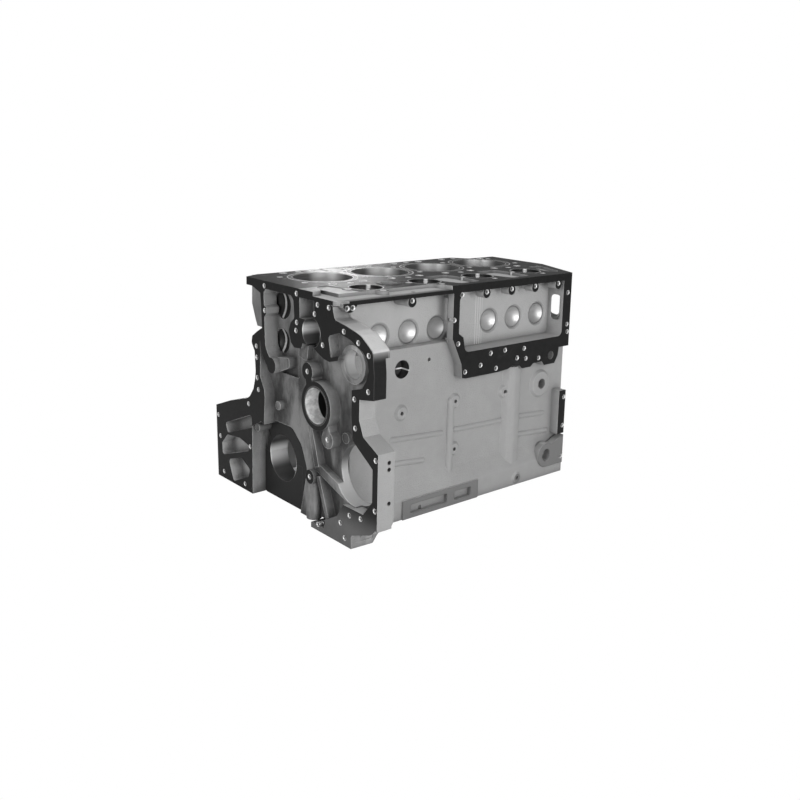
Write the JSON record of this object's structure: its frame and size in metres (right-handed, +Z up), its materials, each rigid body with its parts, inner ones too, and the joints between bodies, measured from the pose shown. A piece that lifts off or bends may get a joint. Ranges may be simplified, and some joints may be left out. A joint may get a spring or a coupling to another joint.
{
  "type": "engine block",
  "caption": "Bare in-line diesel engine block with wet cylinder liners, main bearing caps, camshaft bushings, core plugs and a gear-case flange on one end.",
  "frame": {"origin": "centre of the middle main bearing bore, on the crankshaft axis", "axes": "+X along the crankshaft towards the flywheel end, +Z up along the cylinders to the deck, -Y towards the camshaft side"},
  "size_m": [0.604, 0.494, 0.401],
  "materials": {
    "cast_iron": "light grey cast surface with dark machined faces",
    "liner_iron": "honed",
    "bushing_metal": "machined bearing metal",
    "plated_steel": "bright pressed or turned steel"
  },
  "bodies": {
    "root": {"camshaft_bushing_1": "bushing_metal", "camshaft_bushing_2": "bushing_metal", "camshaft_bushing_3": "bushing_metal", "camshaft_bushing_4": "bushing_metal", "camshaft_bushing_5": "bushing_metal", "cylinder_block": "cast_iron", "cylinder_liner_1": "liner_iron", "cylinder_liner_2": "liner_iron", "cylinder_liner_3": "liner_iron", "cylinder_liner_4": "liner_iron", "far_core_plug_1": "plated_steel", "far_core_plug_2": "plated_steel", "far_core_plug_3": "plated_steel", "far_core_plug_4": "plated_steel", "front_core_plug_1": "plated_steel", "front_core_plug_2": "plated_steel", "main_bearing_cap_1": "cast_iron", "main_bearing_cap_2": "cast_iron", "main_bearing_cap_3": "cast_iron", "main_bearing_cap_4": "cast_iron", "main_bearing_cap_5": "cast_iron", "main_cap_bolts": "plated_steel", "side_core_plug_1": "plated_steel", "side_core_plug_2": "plated_steel", "side_core_plug_3": "plated_steel", "side_core_plug_4": "plated_steel", "side_core_plug_5": "plated_steel", "side_core_plug_6": "plated_steel"}
  },
  "joints": []
}
